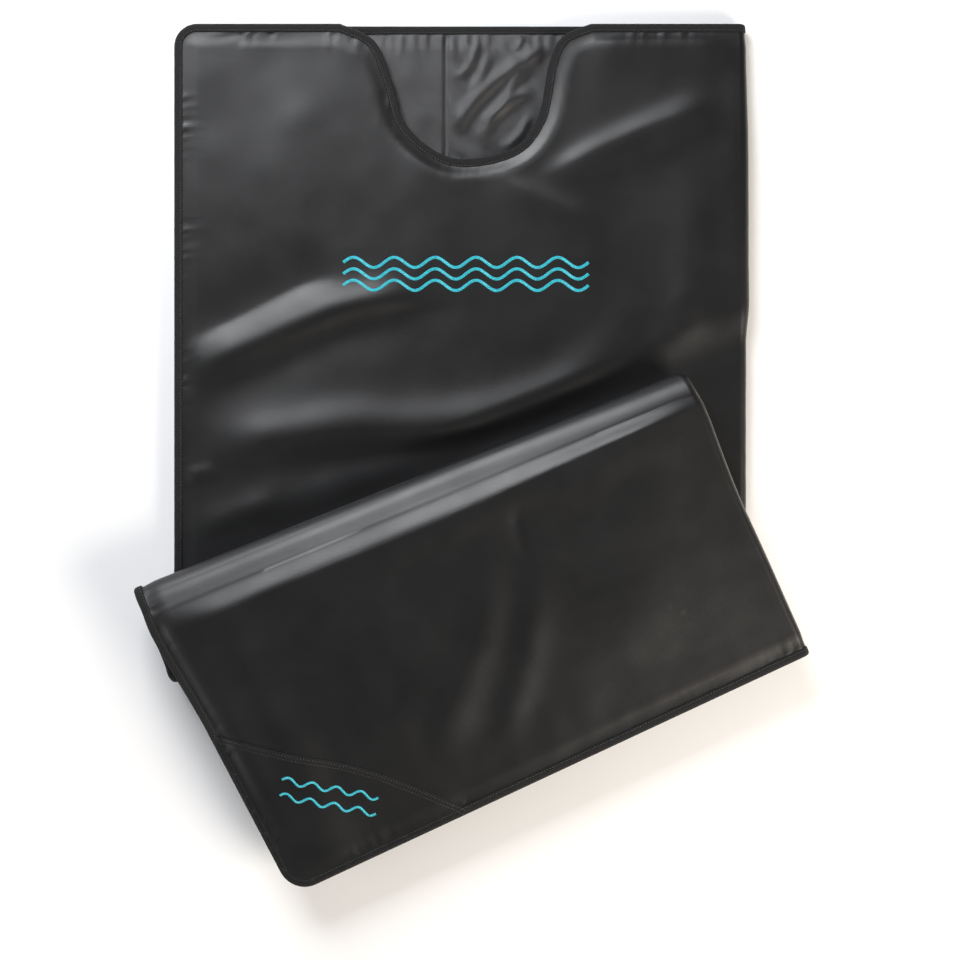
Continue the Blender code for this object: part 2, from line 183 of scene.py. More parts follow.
CREASE_SINK = 0.0040       # how far the surface of the upper fold sinks at a share of 1
CREASE_PROFILE = [         # share of the roll, past 1 the distance down the foot in rolls; share of the sink
    (0.0, 0.0), (0.15, -0.25), (0.3, -0.95), (0.42, -1.32), (0.49, -1.18), (0.54, -0.85), (0.59, -0.44),
    (0.63, -0.12), (0.67, 0.16), (0.71, 0.4), (0.75, 0.6), (0.8, 0.8), (0.85, 0.9), (0.9, 0.9),
    (0.93, 0.84), (0.96, 0.745), (0.98, 0.66), (1.0, 0.56), (1.054, 0.32), (1.107, 0.173), (1.161, 0.09),
    (1.22, 0.038), (1.3, 0.01), (1.38, 0.0), (3.0, 0.0),
]
MIDDLE_FLARE = 0.020       # how far the open side spreads out at the upper fold, under the foot
FOLD_FLARE = 0.009         # how far the closed side spreads out there
FLARE_REACH = 0.2          # how far down the foot the two spreads fade out


def crease_reach(u):
    """Reach along the foot of the slope beside the upper fold, as a share: less near the closed side."""
    return 1 - 0.45 * ease((u + 0.05) / 0.45)


def sinking(u, y, upper):
    """How far the upper fold's surface has sunk, as a share: negative at its nose, none far down the foot."""
    along = np.maximum(upper_line(u) - y, 0) / (UPPER_ROLL * crease_reach(u))
    at = np.where(upper >= FOOT_TURN, 1 + along, upper / FOOT_TURN)
    line = smooth_line(CREASE_PROFILE, 8)
    share = sum(np.interp(at + shift, line[:, 0], line[:, 1]) for shift in (-0.02, 0, 0.02)) / 3
    nose = 1 - 0.6 * u / HALF
    pressed = 1 - 0.55 * ease((u - 0.15) / 0.30)
    return np.where(share < 0, share * nose, share * pressed) * (1 + 0.06 * waves(u, 0 * u, 0.30, 41))


def place(c, t, depth):
    """Folded position of points of the bag. The foot's open side is drawn in towards the hem."""
    c, t = np.asarray(c, float), np.asarray(t, float)
    u, n = cross_section(c, depth)
    y, lower, upper = split_rows(c, t)
    n = n - CREASE_SINK * sinking(u, y, upper)
    on_foot = upper >= FOOT_TURN
    turned = ease(upper / FOOT_TURN)
    down_foot = np.clip((UPPER_PIVOT[1] - y) / (UPPER_PIVOT[1] - HEM_Y), 0, 1)
    from_lower = 0.4 + 0.6 * ease((lower_line(u) - y) / (2 * LOWER_ROLL))
    at_fold = np.where(on_foot, ease(1 - (upper_line(u) - y) / FLARE_REACH), turned)
    spread = np.where(on_foot, 0.45 * at_fold, 1 - 0.55 * turned)
    in_middle = from_lower * ease(lower / math.pi) * spread
    open_side = np.clip(1 - (u + HALF) / DRAW_IN_WIDTH, 0, 1)
    closed_side = ease((u - 0.1) / (HALF - 0.1))
    u = (u + (FOOT_DRAW_IN * down_foot - MIDDLE_FLARE * in_middle) * open_side
         + FOLD_FLARE * at_fold * closed_side)
    flat = np.stack([u, y, n], axis=1)
    folded = rotate(flat, UPPER_PIVOT, UPPER_AXIS, upper)
    return rotate(folded, LOWER_PIVOT, LOWER_AXIS, -lower)


def t_of(u, y):
    """t of a point given its u and y in the strip frame (not inside a roll)."""
    t = np.asarray(y, float).copy()
    t = np.where(y < upper_line(u), t - UPPER_ROLL, t)
    return np.where(y < lower_line(u), t - LOWER_ROLL, t)


def front_c(u):
    """c of a point of the front panel given its u."""
    return ACROSS - (u + HALF)


# ---- outline of the opened-out bag

def foot_t(y):
    """t of a point of the foot given its y in the strip frame."""
    return y - LOWER_ROLL - UPPER_ROLL


HEM_T = foot_t(HEM_Y)
NECK_CORNER = 0.035        # corner radii
FOOT_CORNER = 0.040
BINDING = 0.013            # width of the edge tape on each face
FRONT_START = FLAT_WIDTH + SPINE_ARC
NECK_NOTCH = [             # u, y of the front panel's edge, as in the CAD
    (-0.19, 0.482), (-0.136, 0.455), (-0.108, 0.39), (-0.084, 0.32), (-0.013, 0.271),
    (0.079, 0.285), (0.122, 0.336), (0.139, 0.42), (0.16, 0.462), (0.205, 0.482),
]
NOTCH_FROM = 0.15          # the notch and the band round it lie above this t


def even_line(points, spacing, closed=False):
    """A polyline resampled to an even spacing."""
    p = np.array(points, float)
    if closed:
        p = np.vstack([p, p[:1]])
    run = np.concatenate([[0], np.cumsum(np.linalg.norm(np.diff(p, axis=0), axis=1))])
    count = max(2, int(round(run[-1] / spacing)) + 1)
    at = np.linspace(0, run[-1], count)
    even = np.stack([np.interp(at, run, p[:, k]) for k in range(p.shape[1])], axis=1)
    return even[:-1] if closed else even


def corner_arc(centre, radius, start_degrees, count=13):
    """A quarter circle, turning anticlockwise from start_degrees."""
    angles = np.radians(np.linspace(start_degrees, start_degrees + 90, count))
    return [(centre[0] + radius * math.cos(a), centre[1] + radius * math.sin(a)) for a in angles]


def bag_outline():
    """The whole free edge as one closed loop in (c, t), anticlockwise."""
    notch = [(float(front_c(u)), y) for u, y in smooth_line(NECK_NOTCH, 12)]
    return np.array(
        corner_arc((ACROSS - NECK_CORNER, NECK_EDGE - NECK_CORNER), NECK_CORNER, 0) + notch
        + corner_arc((NECK_CORNER, NECK_EDGE - NECK_CORNER), NECK_CORNER, 90)
        + corner_arc((FOOT_CORNER, HEM_T + FOOT_CORNER), FOOT_CORNER, 180)
        + corner_arc((ACROSS - FOOT_CORNER, HEM_T + FOOT_CORNER), FOOT_CORNER, 270))


OUTLINE = even_line(bag_outline(), 0.003, closed=True)
FAR = 9.0
EDGE_BAND = 0.09           # no distance from the free edge is measured beyond this


def inside(points, loop):
    """Which points are inside a closed loop."""
    found = np.zeros(len(points), bool)
    x, y = points[:, 0], points[:, 1]
    for (ax, ay), (bx, by) in zip(loop, np.roll(loop, -1, axis=0)):
        crosses = (ay > y) != (by > y)
        if crosses.any():
            found ^= crosses & (x < (bx - ax) * (y - ay) / (by - ay + 1e-12) + ax)
    return found


def edge_distance(c, t):
    """Distance in from the free edge, negative outside it."""
    p = np.stack([c, t], axis=1)
    gap = np.full(len(p), FAR)
    near = np.minimum(np.minimum(c, ACROSS - c), np.minimum(NECK_EDGE - t, t - HEM_T)) < EDGE_BAND
    near |= (c > FRONT_START) & (t > NOTCH_FROM)
    q = p[near]
    best = np.full(len(q), FAR)
    for k in range(0, len(OUTLINE), 200):
        part = OUTLINE[k:k + 200]
        best = np.minimum(best, np.sqrt(((q[:, None, :] - part[None]) ** 2).sum(axis=2)).min(axis=1))
    gap[near] = np.where(inside(q, OUTLINE), best, -best)
    return np.minimum(gap, EDGE_BAND)


# ---- relief of the fabric

def ridge(x, y, points, height, left, right, fade):
    """A fold of fabric along a curve, left and right wide on its two sides, fading over a share of its ends."""
    line = smooth_line(points, 10)
    steps = np.diff(line, axis=0)
    length = np.linalg.norm(steps, axis=1)
    run = np.concatenate([[0], np.cumsum(length)])
    best = np.full(x.shape, FAR)
    side = np.zeros_like(x)
    along = np.zeros_like(x)
    for (ax, ay), (dx, dy), size, start in zip(line, steps, length, run):
        k = np.clip(((x - ax) * dx + (y - ay) * dy) / size ** 2, 0, 1)
        gx, gy = x - ax - k * dx, y - ay - k * dy
        gap = np.hypot(gx, gy)
        closer = gap < best
        best = np.where(closer, gap, best)
        side = np.where(closer, dx * gy - dy * gx, side)
        along = np.where(closer, start + k * size, along)
    share = along / run[-1]
    taper = ease(share / fade) * ease((1 - share) / fade)
    width = np.where(side > 0, left, right)
    return height * taper * np.exp(-(best / width) ** 2)


def folds(x, y, table):
    """The sum of a table's folds."""
    return sum(ridge(x, y, *entry) for entry in table)


HEAD_FOLDS = [             # crest in (u, y), height, widths left and right of the crest, fade at its ends
    ([(-0.45, -0.074), (-0.4, -0.062), (-0.342, -0.038), (-0.252, 0.002), (-0.19, 0.03), (-0.13, 0.044),
      (-0.04, 0.046)], 0.0085, 0.03, 0.026, 0.24),
    ([(-0.45, -0.088), (-0.342, -0.052), (-0.252, -0.014), (-0.13, 0.02), (0.02, 0.03)],
     -0.0055, 0.02, 0.07, 0.25),
    ([(-0.45, -0.012), (-0.4, 0.004), (-0.342, 0.03), (-0.25, 0.076), (-0.17, 0.096)],
     -0.006, 0.055, 0.02, 0.3),
    ([(-0.45, -0.198), (-0.33, -0.176), (-0.2, -0.154), (-0.09, -0.15), (0.03, -0.146),
      (0.1, -0.132), (0.2, -0.09), (0.3, -0.054)], 0.009, 0.046, 0.026, 0.2),
    ([(-0.4, -0.226), (-0.26, -0.21), (-0.1, -0.194), (0.02, -0.19), (0.12, -0.164),
      (0.24, -0.109)], -0.007, 0.024, 0.05, 0.3),
    ([(-0.45, -0.236), (-0.42, -0.226), (-0.37, -0.216)], 0.003, 0.014, 0.012, 0.35),
    ([(-0.435, -0.32), (-0.35, -0.288), (-0.27, -0.26)], 0.0028, 0.024, 0.024, 0.35),
    ([(0.11, 0.226), (0.165, 0.255), (0.235, 0.292), (0.32, 0.328), (0.42, 0.362)],
     0.0056, 0.02, 0.04, 0.28),
    ([(0.18, 0.448), (0.3, 0.454), (0.435, 0.454)], 0.0036, 0.012, 0.04, 0.25),
    ([(0.036, 0.246), (0.12, 0.212), (0.245, 0.158)], 0.0034, 0.016, 0.028, 0.35),
    ([(0.33, -0.02), (0.38, 0.08), (0.4, 0.2)], 0.0024, 0.05, 0.05, 0.3),
]
FOOT_FOLDS = [
    ([(0.06, -0.7), (0.031, -0.81), (-0.06, -0.91), (-0.167, -1.016)], 0.0036, 0.036, 0.022, 0.34),
    ([(0.125, -0.76), (0.089, -0.849), (0.02, -0.95), (-0.075, -1.048)], 0.0032, 0.028, 0.022, 0.34),
    ([(0.135, -0.69), (0.12, -0.73), (0.11, -0.79)], -0.0016, 0.01, 0.012, 0.35),
    ([(0.36, -0.72), (0.25, -0.86), (0.23, -1.02)], 0.004, 0.07, 0.06, 0.3),
    ([(-0.39, -0.7), (-0.3, -0.83), (-0.29, -0.93)], -0.002, 0.05, 0.04, 0.3),
]
HEAD_DOME = 0.008          # how much higher the covers stand at the middle of the head and of the foot
FOOT_DOME = 0.0095
DOME_REACH = 0.30


def folded_crease():
    """A point on the upper fold's outside and the slope of the crease, in the plan of the folded blanket."""
    half_way = FOOT_TURN / 2
    ends = []
    for u in (-0.2, 0.2):
        flat = np.array([[u, upper_line(u), THICK]])
        turned = rotate(flat, UPPER_PIVOT, UPPER_AXIS, np.array([half_way]))
        ends.append(unfold_middle(turned)[0])
    slope = (ends[1][1] - ends[0][1]) / (ends[1][0] - ends[0][0])
    return ends[0][0], ends[0][1], slope


FOLDED_CREASE = folded_crease()
SLACK = {}                 # simulated changes of height, by section, filled in below


def visible_front(u, y):
    """1 where the front panel of the head section is clear of the sections folded on it."""
    ahead = y - (FOLDED_CREASE[1] + (u - FOLDED_CREASE[0]) * FOLDED_CREASE[2])
    return ease((ahead - 0.005) / 0.07)


def foot_dome(u, y):
    """Share of the foot's dome, rising in from the upper fold, the sides and the hem."""
    across = ease((u + HALF) / 0.12) * ease((HALF - u) / 0.12)
    rise = ease((upper_line(u) - y) / (0.036 * crease_reach(u)))
    return (0.25 + 0.75 * across) * rise * ease((y - HEM_Y) / 0.22)


def front_relief(u, y, lower, upper):
    """How far the front cover stands proud of its flat place."""
    on_head = (lower <= 0).astype(float)
    on_foot = (upper >= FOOT_TURN).astype(float)
    open_air = on_head * visible_front(u, y)
    dome = ease((u + HALF) / DOME_REACH) * ease((NECK_EDGE - y) / DOME_REACH)
    uneven = 0.0008 * waves(u, y, 0.24, 3) + 0.00012 * waves(u, y, 0.07, 4)
    h = open_air * (folds(u, y, HEAD_FOLDS) + HEAD_DOME * dome + uneven)
    uneven = 0.0005 * waves(u, y, 0.20, 7) + 0.00010 * waves(u, y, 0.06, 8)
    past_fold = ease((upper_line(u) - y) / 0.05)
    h += on_foot * (folds(u, y, FOOT_FOLDS) + FOOT_DOME * foot_dome(u, y) + past_fold * uneven)
    if SLACK:
        h += open_air * SLACK["head"].at(u, y) + on_foot * SLACK["foot"].at(u, y)
    return h


def crush(c, u, y, lower, upper):
    """How far the front panel is pressed into the pouch along the upper fold, as a share of the sink."""
    return np.where(lower >= math.pi, sinking(u, y, upper), 0.0) * ease((c - FLAT_WIDTH) / SPINE_ARC)


def pucker(c, t, distance):
    """Short gathers where the binding holds the edge."""
    band = ease((distance - 0.010) / 0.006) * np.exp(-np.maximum(distance - 0.014, 0) / 0.012)
    run = np.where((c < 0.1) | (c > ACROSS - 0.1), t, c)
    patchy = ease(0.45 + 0.6 * waves(c, t, 0.13, 12))
    return 0.0006 * band * patchy * waves(run, 0.25 * (c + t), 0.020, 11)


LINING_FOLDS = [
    ([(-0.014, 0.305), (0.012, 0.352), (0.05, 0.392), (0.1, 0.428), (0.15, 0.462)],
     0.0052, 0.012, 0.013, 0.22),
    ([(-0.014, 0.402), (0.008, 0.412), (0.022, 0.438), (0.028, 0.468)], 0.0028, 0.007, 0.008, 0.3),
    ([(0.012, 0.372), (0.036, 0.412), (0.046, 0.45)], 0.0032, 0.007, 0.01, 0.35),
    ([(0.03, 0.292), (0.052, 0.34), (0.092, 0.372), (0.128, 0.38)], 0.0034, 0.01, 0.011, 0.32),
    ([(0.02, 0.33), (0.062, 0.352), (0.088, 0.398), (0.124, 0.42)], 0.0026, 0.007, 0.009, 0.35),
    ([(0.082, 0.44), (0.096, 0.458), (0.1, 0.47)], 0.0016, 0.006, 0.006, 0.35),
    ([(0.062, 0.284), (0.094, 0.312), (0.112, 0.352)], 0.0026, 0.008, 0.008, 0.32),
    ([(-0.095, 0.43), (-0.07, 0.37), (-0.05, 0.31)], 0.0012, 0.014, 0.012, 0.3),
]
LINING_SEAM_U = -0.024


def lining_relief(c, t, u, y, lower):
    """How far the lining of a panel stands into the pouch."""
    in_notch = (lower <= 0) & (c < FLAT_WIDTH)
    window = in_notch * ease((y - 0.235) / 0.05) * ease((0.165 - np.abs(u - 0.010)) / 0.04)
    h = 0.0004 * waves(c, t, 0.08, 23)
    if window.any():
        gather = ease((y - 0.425) / 0.045) * waves(u, 0.25 * y, 0.019, 21)
        beside = ease((u - LINING_SEAM_U) / 0.01) * waves(u + 0.6 * y, 0.5 * y, 0.035, 22)
        seam = np.exp(-((u - LINING_SEAM_U) / 0.0035) ** 2)
        h += window * (folds(u, y, LINING_FOLDS) + 0.0008 + 0.0007 * gather + 0.0006 * beside - 0.0016 * seam)
    return h


# ---- simulated slack of the two visible covers

SIM_SPACING = 0.016
SEWN_BAND = 0.016          # the cloth is held this far in from the free edge
SIM_SLACK = 0.009          # how much larger the cover is cut than the frame it is sewn to
SIM_FRAMES = 26
SIM_GAP = 0.001            # how far the cloth starts above, and keeps off, what it lies on
SIM_CAP = 0.0050           # largest change of height, and the share of it that is kept
SIM_SHARE = 0.50
CLOTH_SETTINGS = {
    "quality": 6, "mass": 0.35, "tension_stiffness": 25, "compression_stiffness": 8, "shear_stiffness": 6,
    "bending_stiffness": 30, "air_damping": 2.0, "shrink_min": -SIM_SLACK, "vertex_group_mass": "sewn",
}


class Relief:
    """A height field over (u, y), read between its grid points."""

    def __init__(self, u_values, y_values, heights):
        self.u, self.y, self.heights = u_values, y_values, heights

    def at(self, u, y):
        """Cubic B-spline value at (u, y), which also smooths the grid out."""
        i = np.clip((u - self.u[0]) / (self.u[1] - self.u[0]), 0, len(self.u) - 1.001)
        j = np.clip((y - self.y[0]) / (self.y[1] - self.y[0]), 0, len(self.y) - 1.001)
        total = np.zeros_like(i)
        for a, weight_a in enumerate(spline_weights(i - np.floor(i))):
            row = np.clip(np.floor(i).astype(int) + a - 1, 0, len(self.u) - 1)
            for b, weight_b in enumerate(spline_weights(j - np.floor(j))):
                column_at = np.clip(np.floor(j).astype(int) + b - 1, 0, len(self.y) - 1)
                total += weight_a * weight_b * self.heights[row, column_at]
        return total


def spline_weights(f):
    before, after = (3 * f ** 3 - 6 * f ** 2 + 4) / 6, (3 * f + 3 * f ** 2 - 3 * f ** 3 + 1) / 6
    return (1 - f) ** 3 / 6, before, after, f ** 3 / 6


def simulate_cover(name, y_low, y_high, t_offset, lower, upper, held):
    """Drops a slightly oversized cover on its padding, sewn down round its edge.
    """
    u_values = np.arange(-HALF, HALF - SPINE_RADIUS, SIM_SPACING)
    y_values = np.arange(y_low, y_high, SIM_SPACING)
    shape = (len(u_values), len(y_values))
    u, y = [g.ravel() for g in np.meshgrid(u_values, y_values, indexing="ij")]
    start = front_relief(u, y, np.full_like(u, lower), np.full_like(u, upper))
    faces = grid_faces(*shape, flipped=True)
    cloth = to_object(name, np.stack([u, y, start + SIM_GAP], axis=1), faces, [])
    sewn = edge_distance(front_c(u), y + t_offset) < SEWN_BAND
    sewn |= held(u, y)
    sewn |= u > HALF - SPINE_RADIUS - 0.02
    pins = cloth.vertex_groups.new(name="sewn")
    pins.add([int(k) for k in np.flatnonzero(sewn)], 1.0, "REPLACE")
    bed = to_object(f"{name}_bed", np.stack([u, y, start * 0.7 - 0.0030], axis=1), faces, [])
    bed.modifiers.new("collision", "COLLISION")
    bed.collision.thickness_outer = SIM_GAP
    modifier = cloth.modifiers.new("cloth", "CLOTH")
    for setting, value in CLOTH_SETTINGS.items():
        setattr(modifier.settings, setting, value)
    modifier.collision_settings.distance_min = SIM_GAP
    modifier.collision_settings.use_self_collision = False
    modifier.point_cache.frame_end = SIM_FRAMES
    for number in range(1, SIM_FRAMES + 1):
        SCENE.frame_set(number)
    settled = cloth.evaluated_get(bpy.context.evaluated_depsgraph_get()).to_mesh()
    z = np.array([v.co.z for v in settled.vertices]) - SIM_GAP
    SCENE.frame_set(1)
    bpy.data.objects.remove(cloth)
    bpy.data.objects.remove(bed)
    change = np.clip(z - start, -SIM_CAP, SIM_CAP) * SIM_SHARE
    change[sewn] = 0.0
    wide = np.pad(change.reshape(shape), 1, mode="edge")
    blurred = sum(wide[a:a + shape[0], b:b + shape[1]] for a in range(3) for b in range(3)) / 9
    return Relief(u_values, y_values, blurred)


PINCH = 0.0026             # how much thinner each face of a panel is where the binding holds it
COVER_CRUSH = 0.0026       # how far the front panel's faces are pressed in at the upper fold, at a share of 1
LINING_CRUSH = 0.0018
TAPE_CRUSH = LINING_CRUSH + 0.0015
BACK_ROLL_SINK = 0.0030    # keeps the lower fold's half rolls inside the flat bag when it is opened out


def squeeze(distance):
    return PINCH * (1 - ease((distance - 0.011) / 0.028))


def cover_depth(c, t):
    """Depth of the outer surface below the flat outside of the bag."""
    u = column(c)
    y, lower, upper = split_rows(c, t)
    distance = edge_distance(c, t)
    loose = ease((distance - 0.008) / 0.022)
    front = ease((c - FLAT_WIDTH) / SPINE_ARC)
    raised = loose * front_relief(u, y, lower, upper) + pucker(c, t, distance)
    slack = 0.0009 + 0.0007 * waves(c, t, 0.11, 31) + 0.0002 * waves(c, t, 0.03, 32)
    back_sink = loose * np.maximum(slack, 0) + BACK_ROLL_SINK * np.sin(lower)
    return (squeeze(distance) - front * raised + (1 - front) * back_sink
            + COVER_CRUSH * crush(c, u, y, lower, upper))


def lining_depth(c, t):
    """Depth of the inner surface below the flat outside of the bag."""
    u = column(c)
    y, lower, upper = split_rows(c, t)
    distance = edge_distance(c, t)
    loose = ease((distance - 0.008) / 0.012)
    return (SIDE - squeeze(distance) + loose * lining_relief(c, t, u, y, lower)
            + LINING_CRUSH * crush(c, u, y, lower, upper))


def lay(c, t, depth_of):
    """Positions and outward normals of a relief surface at (c, t)."""
    step = 0.0008
    here = place(c, t, depth_of(c, t))
    across = place(c + step, t, depth_of(c + step, t)) - here
    down = place(c, t + step, depth_of(c, t + step)) - here
    normal = np.cross(down, across)
    return here, normal / np.maximum(np.linalg.norm(normal, axis=1, keepdims=True), 1e-12)


# ---- mesh helpers

def grid_faces(count, width, closed=False, flipped=False):
    """Quads between count rows of width vertices. With closed, the last column joins the first."""
    faces = []
    for row in range(0, (count - 1) * width, width):
        for k in range(width if closed else width - 1):
            right = (k + 1) % width
            quad = (row + k, row + right, row + width + right, row + width + k)
            faces.append(quad[:1] + quad[:0:-1] if flipped else quad)
    return faces


def path_frame(path):
    """Unit vectors along a path in (c, t), and to its left."""
    run = np.gradient(path, axis=0)
    run /= np.maximum(np.linalg.norm(run, axis=1, keepdims=True), 1e-12)
    return run, np.stack([-run[:, 1], run[:, 0]], axis=1)


def to_object(name, vertices, faces, materials, face_materials=None, normals=None, uv=None):
    """A mesh object from arrays. uv gives each vertex its place in the flat bag, in metres."""
    mesh = bpy.data.meshes.new(name)
    mesh.from_pydata([tuple(v) for v in vertices], [], faces)
    for m in materials:
        mesh.materials.append(m)
    if face_materials is not None:
        mesh.polygons.foreach_set("material_index", np.array(face_materials, np.int32))
    mesh.polygons.foreach_set("use_smooth", np.full(len(faces), True))
    if uv is not None:
        layer = mesh.uv_layers.new(name="flat")
        corners = np.zeros(len(mesh.loops), np.int32)
        mesh.loops.foreach_get("vertex_index", corners)
        layer.data.foreach_set("uv", np.array(uv, np.float32)[corners].ravel())
    if normals is not None:
        mesh.normals_split_custom_set_from_vertices([tuple(n) for n in normals])
    mesh.validate(clean_customdata=False)
    obj = bpy.data.objects.new(name, mesh)
    SCENE.collection.objects.link(obj)
    return obj


def spaced(*runs):
    """Positions along consecutive runs, each given as (start, end, spacing)."""
    parts = [np.linspace(a, b, max(2, math.ceil(abs(b - a) / step) + 1)) for a, b, step in runs]
    return np.unique(np.concatenate(parts).round(7))


def lower_middle(c):
    """t of the middle of the lower fold's roll."""
    return lower_line(column(c)) - LOWER_ROLL / 2


def upper_middle(c):
    """t of the middle of the upper fold's roll."""
    return upper_line(column(c)) - LOWER_ROLL - UPPER_ROLL / 2


def neck_end(c):
    return np.full_like(c, NECK_EDGE)


def hem_end(c):
    return np.full_like(c, HEM_T)


def peel_line(u):
    return PEEL_PIVOT[1] + (u - PEEL_PIVOT[0]) * PEEL_AXIS[1] / PEEL_AXIS[0]


def on_corner(c, t):
    """Whether a point belongs to the front panel's neck corner."""
    return (c > FRONT_START - 1e-6) & (t > peel_line(column(c)))


INLET_FLAT = unfold_foot(node_points("inlet_housing"))
INLET_T = foot_t((INLET_FLAT[:, 1].min() + INLET_FLAT[:, 1].max()) / 2)
INLET_HALF = 0.012         # half the socket's mouth along the edge, and how far in it reaches
INLET_DEPTH = 0.022


def in_mouth(c, t, margin=0.0):
    """Whether a point is in front of the power inlet, where the back panel's edge is open."""
    return (c < INLET_DEPTH) & (t > INLET_T - INLET_HALF - margin) & (t < INLET_T + INLET_HALF + margin)


SHELL_INSET = 0.0035       # the padded shells end this far inside the free edge, under the edge tape


def padded_panel(name, c, shares, top, bottom, part):
    """A closed padded panel: the cover, the lining and the walls that join them round the free edge.

    part is "all", or "rest" or "corner" for one side of the peel line: then the vertices nearest to
    that line are moved onto it.
    """
    high, low = top(c), bottom(c)
    t = high[:, None] + (low - high)[:, None] * shares[None, :]
    grid_c = np.repeat(c[:, None], len(shares), axis=1)
    snapped = np.zeros(len(c), int)
    front = c >= FRONT_START - 1e-6
    cut = part != "all"
    if cut:
        line = peel_line(column(c))
        snapped = np.abs(t - line[:, None]).argmin(axis=1)
        t[front, snapped[front]] = line[front]
    flat_c, flat_t = grid_c.ravel(), t.ravel()
    kept = (edge_distance(flat_c, flat_t) > SHELL_INSET) & ~in_mouth(flat_c, flat_t)
    rows = len(shares)
    faces = []
    for j in range(len(c) - 1):
        a, b = snapped[j], snapped[j + 1]
        split = cut and front[j]
        start, stop = 0, rows - 1
        if split and part == "corner":
            stop = a
            faces += [(j * rows + a, (j + 1) * rows + k, (j + 1) * rows + k + 1) for k in range(a, b)]
        elif split:
            start = b
            faces += [((j + 1) * rows + b, j * rows + k + 1, j * rows + k) for k in range(a, b)]
        elif part == "corner":
            continue
        faces += [(j * rows + k, (j + 1) * rows + k, (j + 1) * rows + k + 1, j * rows + k + 1)
                  for k in range(start, stop)]
    faces = [f for f in faces if all(kept[v] for v in f)]
    used = np.unique(np.concatenate([np.array(f) for f in faces]))
    number = np.full(len(flat_c), -1)
    number[used] = np.arange(len(used))
    faces = [tuple(int(number[v]) for v in f) for f in faces]
    count = len(used)
    cover, cover_normal = lay(flat_c[used], flat_t[used], cover_depth)
    lining, lining_normal = lay(flat_c[used], flat_t[used], lining_depth)
    directed = {(f[k], f[(k + 1) % len(f)]) for f in faces for k in range(len(f))}
    border = [(a, b) for a, b in directed if (b, a) not in directed]
    walls = [(b, a, a + count, b + count) for a, b in sorted(border)]
    inner = [tuple(v + count for v in f[::-1]) for f in faces]
    flat = np.stack([flat_c[used], flat_t[used]], axis=1)
    # faces on the closed side's fold get the painted warm highlight: a lighter brown tone standing in for the
    # warm fill's reflection
    under_highlight = (flat[:, 0] > FOLD_HIGHLIGHT_SPAN[0]) & (flat[:, 0] < FOLD_HIGHLIGHT_SPAN[1])
    outside = [FOLD_HIGHLIGHT if all(under_highlight[v] for v in f) else OUTSIDE for f in faces]
    return to_object(name, np.vstack([cover, lining]), faces + inner + walls, SKIN,
                     outside + [INSIDE] * len(inner) + [WALL] * len(walls),
                     np.vstack([cover_normal, -lining_normal]), np.vstack([flat, flat]))


RIBBON_ACROSS = np.array([-1.0, -0.8, -0.3, 0.3, 0.8, 1.0])
RIBBON_HEIGHT = np.array([0.0, 0.85, 1.0, 1.0, 0.85, 0.0])
RIBBON_SINK = 0.0002       # how far a ribbon's edges lie under the surface


def ribbon(name, path, half_width, lift, material, surface):
    """A raised strip along a path in (c, t), lying on the cover or the lining.

    surface is +1 for the cover and -1 for the lining. lift is its height over that surface.
    """
    side = path_frame(path)[1]
    across = RIBBON_ACROSS * half_width
    height = np.tile(RIBBON_HEIGHT * lift, len(path)) - RIBBON_SINK
    depth_of = cover_depth if surface > 0 else lining_depth
    flat = (path[:, None, :] + side[:, None, :] * across[None, :, None]).reshape(-1, 2)
    points = place(*flat.T, depth_of(*flat.T) - surface * height)
    width = len(across)
    faces = grid_faces(len(path), width)
    if surface < 0:
        faces = [f[::-1] for f in faces]
    length = np.concatenate([[0], np.cumsum(np.linalg.norm(np.diff(path, axis=0), axis=1))])
    uv = np.stack([np.repeat(length, width), np.tile(across, len(path))], axis=1)
    return to_object(name, points, faces, [material], uv=uv)


def joined(name, objects):
    """Several mesh objects made one."""
    with bpy.context.temp_override(active_object=objects[0], selected_editable_objects=objects,
                                   selected_objects=objects):
        bpy.ops.object.join()
    objects[0].name = name
    objects[0].data.name = name
    return objects[0]


BINDING_PROFILE = [        # distance in from the edge, depth from the outside, as shares of BINDING and SIDE
    (1.0, 0.285), (0.97, 0.165), (0.86, 0.125), (0.5, 0.115), (0.2, 0.15), (0.02, 0.3),
    (-0.05, 0.5), (0.02, 0.7), (0.2, 0.85), (0.5, 0.885), (0.86, 0.875), (0.97, 0.835), (1.0, 0.715),
]


EDGE_STEP = 0.005
EDGE = even_line(bag_outline(), EDGE_STEP, closed=True)
EDGE_RUN = np.roll(EDGE, -1, axis=0) - np.roll(EDGE, 1, axis=0)
EDGE_RUN /= np.linalg.norm(EDGE_RUN, axis=1, keepdims=True)
EDGE_IN = np.stack([-EDGE_RUN[:, 1], EDGE_RUN[:, 0]], axis=1)


EDGE_OWNER = np.where(EDGE[:, 1] > lower_middle(EDGE[:, 0]), "head",
                      np.where(EDGE[:, 1] > upper_middle(EDGE[:, 0]), "middle", "foot"))
EDGE_OWNER = np.where(on_corner(*EDGE.T), "neck_corner", EDGE_OWNER)


def edge_runs(owner):
    """A body's stretches of the free edge, as (points, inward vectors).

    Each ends on the first point of the next body's stretch, so that the two meet.
    """
    count = len(EDGE)
    mine = (EDGE_OWNER == owner) & ~in_mouth(*EDGE.T, 0.001)
    for start in range(count):
        if mine[start] and not mine[start - 1]:
            stop = start
            while mine[stop % count]:
                stop += 1
            index = np.arange(start, stop + 1) % count
            yield EDGE[index], EDGE_IN[index]


def tape_depth(c, t, share):
    """Depth of the edge tape at a share of the side's thickness."""
    y, lower, upper = split_rows(c, t)
    return share * SIDE + crush(c, column(c), y, lower, upper) * TAPE_CRUSH


